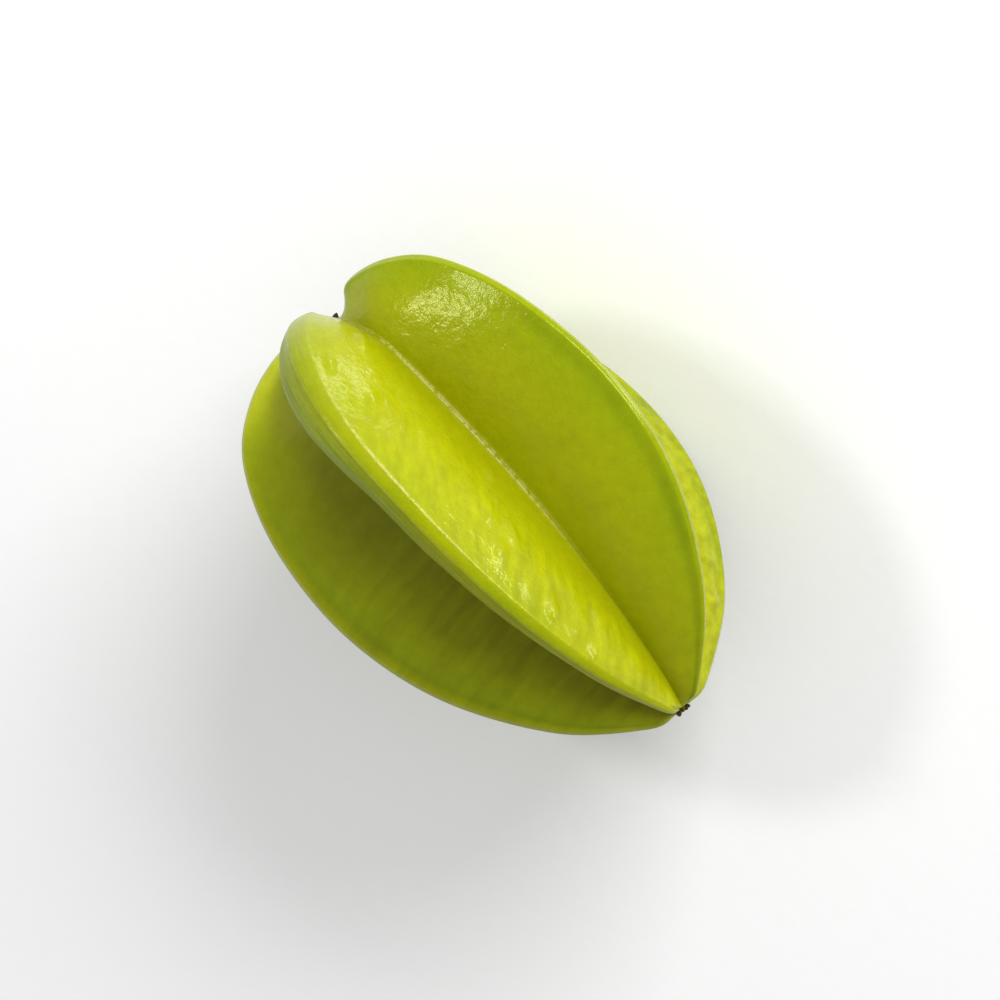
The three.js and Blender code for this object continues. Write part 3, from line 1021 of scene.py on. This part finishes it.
def style_material(tints):
    """Dark brown and shrivelled, with straw-coloured hollows close to the core."""
    look = Look("dry_style", tints, "style")
    core = REST_TURN @ Vector((STYLE_SEAT * MM, 0, 0)) + PIT_FLOOR
    inputs = {0: look.spot, 1: tuple(core)}
    off_core = add_node(look.tree, "ShaderNodeVectorMath", inputs, operation="DISTANCE")
    blotches = look.noise(0.7, 2.0, detail=3.0)
    fibres = look.noise(0.2, 5.0)
    straw = (Wire(off_core.outputs["Value"]) / MM).ramp(1.2, 0.6) * (blotches + 0.6)
    look.lay("straw", straw.clamped())
    look.brighten(fibres * 0.6 + blotches * 0.6)
    return look.finish(blotches * 0.1 + 0.75, fibres * 0.04, {"IOR": 1.2})


class STARFRUIT_OT_grow_styles(Operator):
    """Grow the dried styles on the blossom tip"""

    bl_idname = "starfruit.grow_styles"
    bl_label = "Grow Dried Styles"

    def execute(self, context):
        settings = context.scene.star_fruit
        growth, geometry = style_tree(settings.style)
        star = growth.grow("dried_styles", geometry, style_material(settings.dry), STYLE_WELD)
        finish_piece(star, "style_star")
        return {"FINISHED"}


# ---- Stage ----

FLOOR_SPAN = 3.0

# Light boxes: azimuth and elevation in degrees, then width and height.
LIGHT_DISTANCE = 1.2
KEY_BOX = (100, 28, (0.8, 0.28))
FILL_BOX = (187, 48, (0.2, 0.2))
GLOW_BOX = (76, 3, (0.75, 0.085))

# The small card that lies beside the stem end: its place, width and length.
CARD_PLACE = (-0.086, 0.112, 0.004)
CARD_SIZE = (0.026, 0.05)

VIEW_LENS = 149.04
VIEW_SENSOR = 36.0
VIEW_DISTANCE = 0.9
VIEW_AIM = Vector((-1.4, 0.13, 36.68)) * MM
VIEW_FROM = (79.07, 67.13)  # azimuth and elevation in degrees
VIEW_ROLL = math.radians(-123.66)


def direction(azimuth, elevation):
    """Unit vector towards a place given by its angles in degrees: azimuth from +X to +Y."""
    azimuth, elevation = math.radians(azimuth), math.radians(elevation)
    level = math.cos(elevation)
    return Vector((math.cos(azimuth) * level, math.sin(azimuth) * level, math.sin(elevation)))


def add_floor(tints):
    corners = [(x * FLOOR_SPAN, y * FLOOR_SPAN, 0) for x, y in ((-1, -1), (1, -1), (1, 1), (-1, 1))]
    mesh = bpy.data.meshes.new("floor")
    mesh.from_pydata(corners, [], [(0, 1, 2, 3)])
    look = Look("floor", tints, "floor")
    grain = look.noise(4, 1.0)
    look.brighten(grain * 0.01)
    mesh.materials.append(look.finish(0.9, grain * 0.02))
    new_object("floor", mesh)


def add_light(name, size, watts, place):
    """A lit rectangle that the camera doesn't see. It shines down until it is turned."""
    lamp = bpy.data.lights.new(name, "AREA")
    lamp.shape = "RECTANGLE"
    lamp.size, lamp.size_y = size
    lamp.energy = watts
    light = new_object(name, lamp)
    light.location = place
    light.visible_camera = False
    return light


def add_box(name, azimuth, elevation, size, watts):
    """A light box that faces the fruit from a direction."""
    towards = direction(azimuth, elevation)
    light = add_light(name, size, watts, VIEW_AIM + towards * LIGHT_DISTANCE)
    light.rotation_mode = "QUATERNION"
    light.rotation_quaternion = towards.to_track_quat("Z", "Y")


def add_daylight(context, strength):
    world = bpy.data.worlds.new("daylight")
    world.use_nodes = True
    background = world.node_tree.nodes["Background"]
    background.inputs["Color"].default_value = (1, 1, 1, 1)
    background.inputs["Strength"].default_value = strength
    context.scene.world = world
    context.scene.view_settings.view_transform = "Standard"


def add_camera(context):
    back = direction(*VIEW_FROM)
    level_up = (Vector((0, 0, 1)) - back * back.z).normalized()
    up = Matrix.Rotation(VIEW_ROLL, 3, back) @ level_up
    turn = Matrix((up.cross(back), up, back)).transposed().to_4x4()
    lens = bpy.data.cameras.new("camera")
    lens.lens = VIEW_LENS
    lens.sensor_width = VIEW_SENSOR
    camera = new_object("camera", lens)
    camera.matrix_world = Matrix.Translation(VIEW_AIM + back * VIEW_DISTANCE) @ turn
    context.scene.camera = camera


class STARFRUIT_OT_set_stage(Operator):
    """Set the floor, the lights and the camera round the fruit"""

    bl_idname = "starfruit.set_stage"
    bl_label = "Set Stage"

    def execute(self, context):
        stage = context.scene.star_fruit.stage
        add_floor(stage)
        add_box("key", *KEY_BOX, stage.key)
        add_box("fill", *FILL_BOX, stage.fill)
        card = add_light("stem_card", CARD_SIZE, stage.stem_card, CARD_PLACE)
        card.rotation_euler = (math.pi, 0, 0)
        add_box("side_glow", *GLOW_BOX, stage.side_glow)
        add_daylight(context, stage.daylight)
        add_camera(context)
        return {"FINISHED"}


# ---- Add-on ----

OPERATORS = (
    STARFRUIT_OT_grow_fruit,
    STARFRUIT_OT_grow_stub,
    STARFRUIT_OT_grow_styles,
    STARFRUIT_OT_set_stage,
)


class STARFRUIT_PT_panel(Panel):
    """The star fruit's settings and operators"""

    bl_idname = "STARFRUIT_PT_panel"
    bl_label = "Star Fruit"
    bl_space_type = "VIEW_3D"
    bl_region_type = "UI"
    bl_category = "Star Fruit"

    def draw(self, context):
        settings = context.scene.star_fruit
        for operator in OPERATORS:
            self.layout.operator(operator.bl_idname)
        for part in ("fruit", "stub", "style", "skin", "dry", "stage"):
            group = getattr(settings, part)
            box = self.layout.box()
            box.label(text=part.capitalize())
            for key in type(group).__annotations__:
                box.prop(group, key)


GROUPS = (FruitForm, StubForm, StyleForm, SkinTints, DryTints, StageForm, StarFruitSettings)
CLASSES = (*GROUPS, *OPERATORS, STARFRUIT_PT_panel)


def register():
    for cls in CLASSES:
        bpy.utils.register_class(cls)
    bpy.types.Scene.star_fruit = PointerProperty(type=StarFruitSettings)


def unregister():
    del bpy.types.Scene.star_fruit
    for cls in reversed(CLASSES):
        bpy.utils.unregister_class(cls)


def main():
    register()
    bpy.ops.starfruit.grow_fruit()
    bpy.ops.starfruit.grow_stub()
    bpy.ops.starfruit.grow_styles()
    bpy.ops.starfruit.set_stage()


if __name__ == "__main__":
    main()
